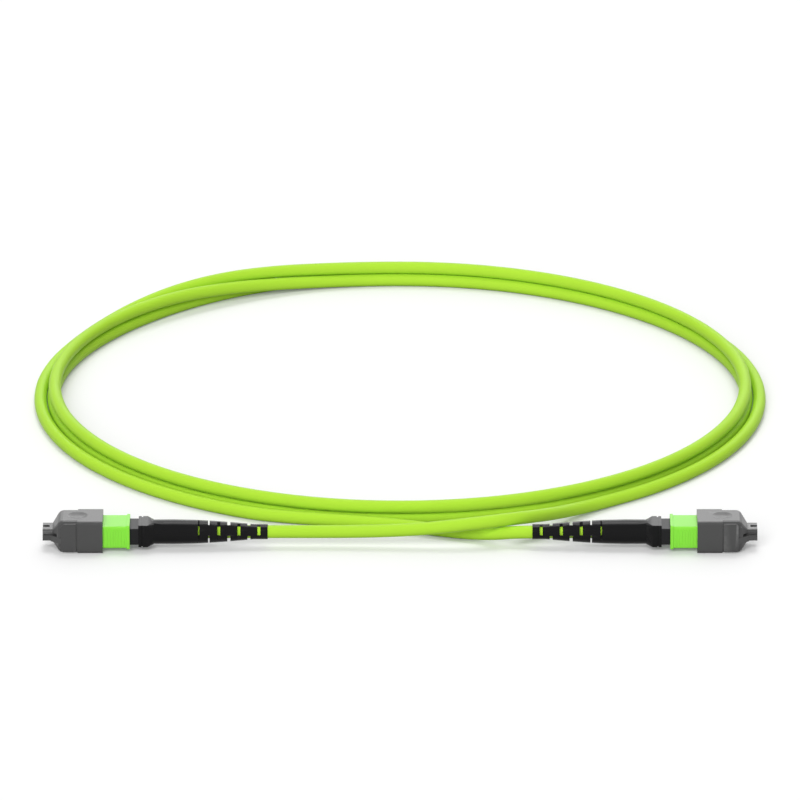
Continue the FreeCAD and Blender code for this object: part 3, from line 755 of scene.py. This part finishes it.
def spring_tree():
    """Geometry nodes for compression springs: oval turns of round wire, closed at each end."""
    tree, start, end = new_tree(
        "Compression spring", "GeometryNodeTree",
        (
            ("Turns", "NodeSocketFloat", 5.0),
            ("Length", "NodeSocketFloat", 5.0 * MM),
            ("Width", "NodeSocketFloat", 5.0 * MM),
            ("Height", "NodeSocketFloat", 5.0 * MM),
            ("Wire", "NodeSocketFloat", 0.5 * MM),
            ("Start", "NodeSocketVector", (0.0, 0.0, 0.0)),
            ("Count", "NodeSocketInt", 1),
            ("Step", "NodeSocketFloat", 0.0),
            ("Finish", "NodeSocketMaterial", None),
        ),
        (("Geometry", "NodeSocketGeometry"),),
    )
    nodes, links = tree.nodes, tree.links
    coil = nodes.new("GeometryNodeCurveSpiral")
    coil.inputs["Resolution"].default_value = 28
    coil.inputs["Start Radius"].default_value = 1.0
    coil.inputs["End Radius"].default_value = 1.0
    coil.inputs["Height"].default_value = 1.0
    links.new(start.outputs["Turns"], coil.inputs["Rotations"])
    place = nodes.new("GeometryNodeInputPosition")
    split = nodes.new("ShaderNodeSeparateXYZ")
    links.new(place.outputs[0], split.inputs[0])
    # The turns lie close together near each end and open in the middle
    ease = nodes.new("ShaderNodeFloatCurve")
    pitch = ease.mapping.curves[0].points
    pitch[0].location = (0.0, 0.0)
    pitch[1].location = (1.0, 1.0)
    for x, y in ((0.2, 0.09), (0.8, 0.91)):
        pitch.new(x, y)
    for point in pitch:
        point.handle_type = "VECTOR"
    ease.mapping.update()
    links.new(split.outputs["Z"], ease.inputs["Value"])
    join = nodes.new("ShaderNodeCombineXYZ")
    inset = maths(tree, "SUBTRACT", start.outputs["Length"], start.outputs["Wire"])
    along = maths(tree, "MULTIPLY", ease.outputs[0], inset)
    half_wire = maths(tree, "MULTIPLY", start.outputs["Wire"], 0.5)
    links.new(maths(tree, "ADD", along, half_wire), join.inputs["X"])
    for round_axis, axis, size in (("X", "Y", "Width"), ("Y", "Z", "Height")):
        half = maths(tree, "MULTIPLY", start.outputs[size], 0.5)
        reach = maths(tree, "SUBTRACT", half, half_wire)
        links.new(maths(tree, "MULTIPLY", split.outputs[round_axis], reach), join.inputs[axis])
    move = nodes.new("GeometryNodeSetPosition")
    links.new(coil.outputs[0], move.inputs["Geometry"])
    links.new(join.outputs[0], move.inputs["Position"])
    section = nodes.new("GeometryNodeCurvePrimitiveCircle")
    section.inputs["Resolution"].default_value = 10
    links.new(half_wire, section.inputs["Radius"])
    sweep = nodes.new("GeometryNodeCurveToMesh")
    sweep.inputs["Fill Caps"].default_value = True
    links.new(move.outputs[0], sweep.inputs["Curve"])
    links.new(section.outputs[0], sweep.inputs["Profile Curve"])
    smooth = nodes.new("GeometryNodeSetShadeSmooth")
    links.new(sweep.outputs[0], smooth.inputs["Geometry"])
    painted_row(tree, start, end, smooth.outputs[0], "Step")
    return tree


def grown(name, tree, values):
    """A mesh made by a geometry node tree, with its inputs set by name."""
    holder = add_object(name, bpy.data.meshes.new(name))
    growth = holder.modifiers.new("Growth", "NODES")
    growth.node_group = tree
    for item in tree.interface.items_tree:
        if item.item_type == "SOCKET" and item.in_out == "INPUT" and item.name in values:
            growth[item.identifier] = values[item.name]
    return finished_mesh(holder)


class PATCHCORD_OT_springs(bpy.types.Operator):
    """Winds the springs behind the ferrules and beside the housings"""

    bl_idname = "patchcord.springs"
    bl_label = "Springs"

    def execute(self, context):
        tree = spring_tree()
        for side in SIDES:
            for node, wire, turns, count, joint, travel in (
                ("ferrule_spring", 0.5 * MM, 6.0, 1, "ferrule_float", FERRULE_TRAVEL),
                ("coupling_springs", 0.22 * MM, 7.0, 2, "sleeve_pull", SLEEVE_TRAVEL),
            ):
                low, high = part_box(f"{side}_{node}")
                size = high - low
                width = size.y if count == 1 else size.z
                first_y = 0.0 if count == 1 else low.y + width / 2
                spring = grown(
                    f"{side}_{node}_wire", tree,
                    {
                        "Turns": turns, "Length": size.x, "Width": width, "Height": size.z,
                        "Wire": wire, "Start": (low.x, first_y, (low.z + high.z) / 2),
                        "Count": count, "Step": -2 * first_y, "Finish": MATERIALS["spring"],
                    },
                )
                fit(spring, "cord_assembly", "spring_steel", f"{side}_{node}")
                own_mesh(spring)
        return {"FINISHED"}


def fibre_end_tree():
    """Geometry nodes for the row of polished fibre ends on a ferrule's face."""
    tree, start, end = new_tree(
        "Fibre ends", "GeometryNodeTree",
        (
            ("Count", "NodeSocketInt", FIBRES),
            ("Pitch", "NodeSocketFloat", FIBRE_PITCH),
            ("Diameter", "NodeSocketFloat", 0.125 * MM),
            ("Proud", "NodeSocketFloat", 0.02 * MM),
            ("Start", "NodeSocketVector", (0.0, 0.0, 0.0)),
            ("Finish", "NodeSocketMaterial", None),
        ),
        (("Geometry", "NodeSocketGeometry"),),
    )
    stub = tree.nodes.new("GeometryNodeMeshCylinder")
    stub.inputs["Vertices"].default_value = 16
    radius = maths(tree, "MULTIPLY", start.outputs["Diameter"], 0.5)
    tree.links.new(radius, stub.inputs["Radius"])
    tree.links.new(start.outputs["Proud"], stub.inputs["Depth"])
    along_x = (0.0, math.pi / 2, 0.0)
    painted_row(tree, start, end, stub.outputs["Mesh"], "Pitch", turned=along_x)
    return tree


class PATCHCORD_OT_fibre_ends(bpy.types.Operator):
    """Sets the polished fibre ends into the ferrules' faces"""

    bl_idname = "patchcord.fibre_ends"
    bl_label = "Fibre ends"

    def execute(self, context):
        tree = fibre_end_tree()
        for side in SIDES:
            low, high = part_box(f"{side}_ferrule")
            face = high.x if side == "right" else low.x
            row = (FIBRES - 1) * FIBRE_PITCH
            ends = grown(
                f"{side}_fibre_ends", tree,
                {"Start": (face, -row / 2, AXIS_Z), "Finish": MATERIALS["fibre"]},
            )
            fit(ends, f"{side}_ferrule_set", "ribbon")
        return {"FINISHED"}


# ---- Stage ----------------------------------------------------------------

def seen_share(tree, path):
    """1 for what the camera sees straight on or in a reflection, and 0 for plain light."""
    return maths(tree, "MAXIMUM", path.outputs["Is Camera Ray"], path.outputs["Is Glossy Ray"])


def floor_material():
    """A pale floor that keeps soft shadows, reads white to the eye and in reflections,
    and throws a little less light up at the cord."""
    mat = bpy.data.materials.new("Pale studio floor")
    mat.use_nodes = True
    tree = mat.node_tree
    tree.nodes.clear()
    out = tree.nodes.new("ShaderNodeOutputMaterial")
    matt = tree.nodes.new("ShaderNodeBsdfDiffuse")
    glow = tree.nodes.new("ShaderNodeEmission")
    path = tree.nodes.new("ShaderNodeLightPath")
    held_back = maths(tree, "MULTIPLY", path.outputs["Is Diffuse Ray"], FLOOR_HELD_BACK)
    tree.links.new(maths(tree, "SUBTRACT", FLOOR_WHITE, held_back), matt.inputs["Color"])
    shine = maths(tree, "MULTIPLY", seen_share(tree, path), FLOOR_GLOW)
    tree.links.new(shine, glow.inputs["Strength"])
    both = tree.nodes.new("ShaderNodeAddShader")
    tree.links.new(matt.outputs[0], both.inputs[0])
    tree.links.new(glow.outputs[0], both.inputs[1])
    tree.links.new(both.outputs[0], out.inputs["Surface"])
    return mat


def studio_sky(strength):
    """Light from all round of the given strength, which itself looks white."""
    world = bpy.data.worlds.new("Studio sky")
    world.use_nodes = True
    tree = world.node_tree
    sky = tree.nodes["Background"]
    sky.inputs["Color"].default_value = (1.0, 1.0, 1.0, 1.0)
    seen = seen_share(tree, tree.nodes.new("ShaderNodeLightPath"))
    lift = maths(tree, "MULTIPLY", seen, 1.0 - strength)
    tree.links.new(maths(tree, "ADD", lift, strength), sky.inputs["Strength"])
    return world


def softbox(name, power, azimuth, elevation, spread, glare=True):
    """A far softbox that lights the whole floor evenly, with or without a glare on gloss.

    Its angles are in degrees, and its azimuth is counted from the camera's side."""
    data = bpy.data.lights.new(name, "SUN")
    data.angle = math.radians(spread)
    data.energy = power * math.pi
    lamp = bpy.data.objects.new(name, data)
    a, e = math.radians(azimuth), math.radians(elevation)
    toward = Vector((math.sin(a) * math.cos(e), -math.cos(a) * math.cos(e), math.sin(e)))
    lamp.location = toward * LAMP_REACH
    lamp.rotation_euler = toward.to_track_quat("Z", "Y").to_euler()
    lamp.visible_glossy = glare
    bpy.context.scene.collection.objects.link(lamp)


class PATCHCORD_OT_stage(bpy.types.Operator):
    """Sets the floor, lamps and camera"""

    bl_idname = "patchcord.stage"
    bl_label = "Stage"

    def execute(self, context):
        scene = context.scene
        stage = scene.patch_stage
        mesh = bpy.data.meshes.new("studio_floor")
        bm = bmesh.new()
        bmesh.ops.create_grid(bm, x_segments=1, y_segments=1, size=FLOOR_REACH)
        bm.to_mesh(mesh)
        bm.free()
        floor = add_object("studio_floor", mesh, floor_material())
        scene.world = studio_sky(stage.sky)
        softbox(
            "Key softbox", stage.key, azimuth=-12.0, elevation=32.0, spread=45.0, glare=False
        )
        softbox("Overhead softbox", stage.lamp, azimuth=176.0, elevation=70.0, spread=28.0)
        softbox("Back softbox", stage.rim, azimuth=172.0, elevation=34.0, spread=50.0)
        data = bpy.data.cameras.new("Camera")
        data.lens = stage.lens
        data.sensor_width = SENSOR_WIDTH
        data.clip_end = CAMERA_SEES_TO
        camera = bpy.data.objects.new("Camera", data)
        reach = stage.distance
        camera.location = (
            0.0, stage.aim_y - reach * math.cos(stage.elevation), reach * math.sin(stage.elevation)
        )
        camera.rotation_euler = (math.pi / 2 - stage.elevation, 0.0, 0.0)
        scene.collection.objects.link(camera)
        scene.camera = camera
        scene.view_settings.view_transform = "Standard"
        return {"FINISHED"}


class PATCHCORD_PT_panel(bpy.types.Panel):
    """Lists the cord's settings and pieces"""

    bl_idname = "PATCHCORD_PT_panel"
    bl_label = "Patch cord"
    bl_space_type = "VIEW_3D"
    bl_region_type = "UI"
    bl_category = "Patch cord"

    def draw(self, context):
        scene = context.scene
        for settings in (scene.patch_cable, scene.patch_plug, scene.patch_stage):
            for name in settings.bl_rna.properties.keys():
                if name not in {"rna_type", "name"}:
                    self.layout.prop(settings, name)
        for operator in OPERATORS:
            self.layout.operator(operator.bl_idname)


SETTINGS = {
    "patch_cable": CableSettings,
    "patch_plug": PlugSettings,
    "patch_stage": StageSettings,
}
OPERATORS = (
    PATCHCORD_OT_stage,
    PATCHCORD_OT_cable,
    PATCHCORD_OT_dust_caps,
    PATCHCORD_OT_sleeves,
    PATCHCORD_OT_boots,
    PATCHCORD_OT_cores,
    PATCHCORD_OT_springs,
    PATCHCORD_OT_fibre_ends,
)


def register():
    """Makes the settings, operators and panel known."""
    for cls in (*SETTINGS.values(), *OPERATORS, PATCHCORD_PT_panel):
        bpy.utils.register_class(cls)
    for name, settings in SETTINGS.items():
        setattr(bpy.types.Scene, name, PointerProperty(type=settings))


def unregister():
    """Takes them away again."""
    for name in SETTINGS:
        delattr(bpy.types.Scene, name)
    for cls in reversed((*SETTINGS.values(), *OPERATORS, PATCHCORD_PT_panel)):
        bpy.utils.unregister_class(cls)


def main():
    """Builds everything in order and notes its size."""
    register()
    make_materials(bpy.context.scene)
    for operator in OPERATORS:
        area, action = operator.bl_idname.split(".")
        getattr(getattr(bpy.ops, area), action)()


if __name__ == "__main__":
    main()
